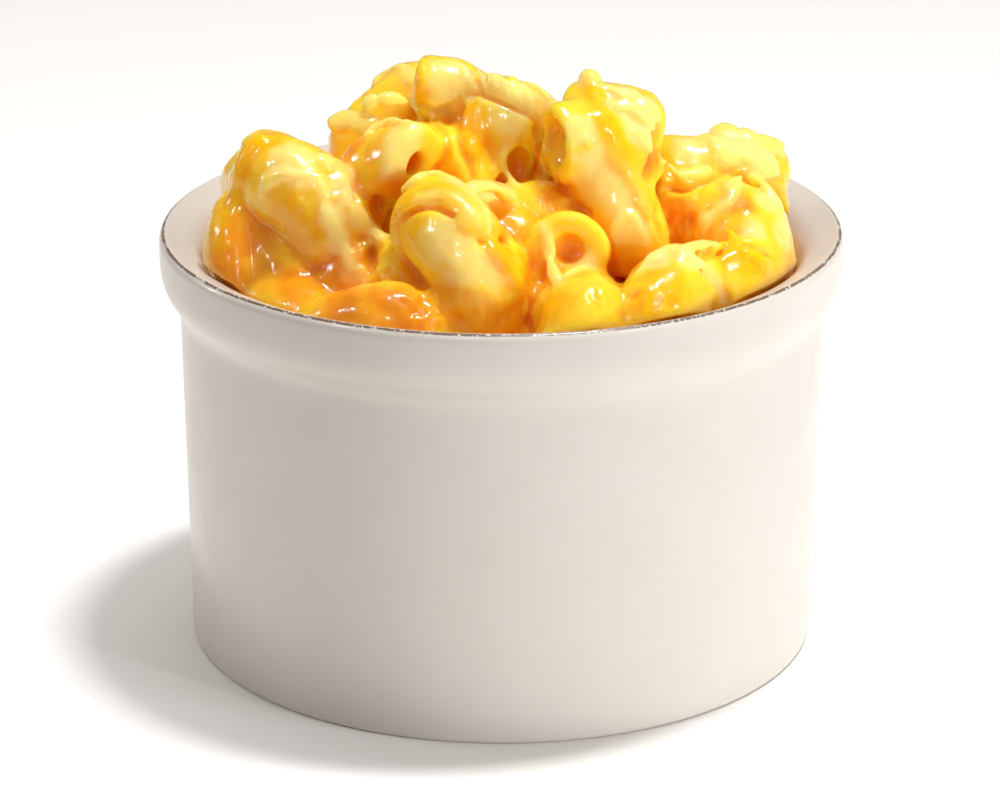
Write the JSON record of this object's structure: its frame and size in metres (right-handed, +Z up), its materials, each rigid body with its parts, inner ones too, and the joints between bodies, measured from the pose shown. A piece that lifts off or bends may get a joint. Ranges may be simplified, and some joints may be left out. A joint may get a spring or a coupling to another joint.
{
  "type": "bowl of macaroni and cheese",
  "caption": "Elbow macaroni in melted cheese sauce with cheese shreds, heaped above the rim of a round cream ceramic ramekin with a rounded rim band.",
  "frame": {"origin": "middle of the bowl's base, where it rests", "axes": "+Z up; the front faces -Y"},
  "size_m": [0.09, 0.09, 0.0794],
  "materials": {
    "glazed_bowl": "cream satin glaze, worn brown along the edge of the rim",
    "cheesy_macaroni": "wet and glossy, translucent yellow to orange cheese sauce over pale pasta, with pale shreds"
  },
  "bodies": {
    "root": {"bowl": "glazed_bowl", "macaroni": "cheesy_macaroni"}
  },
  "joints": []
}
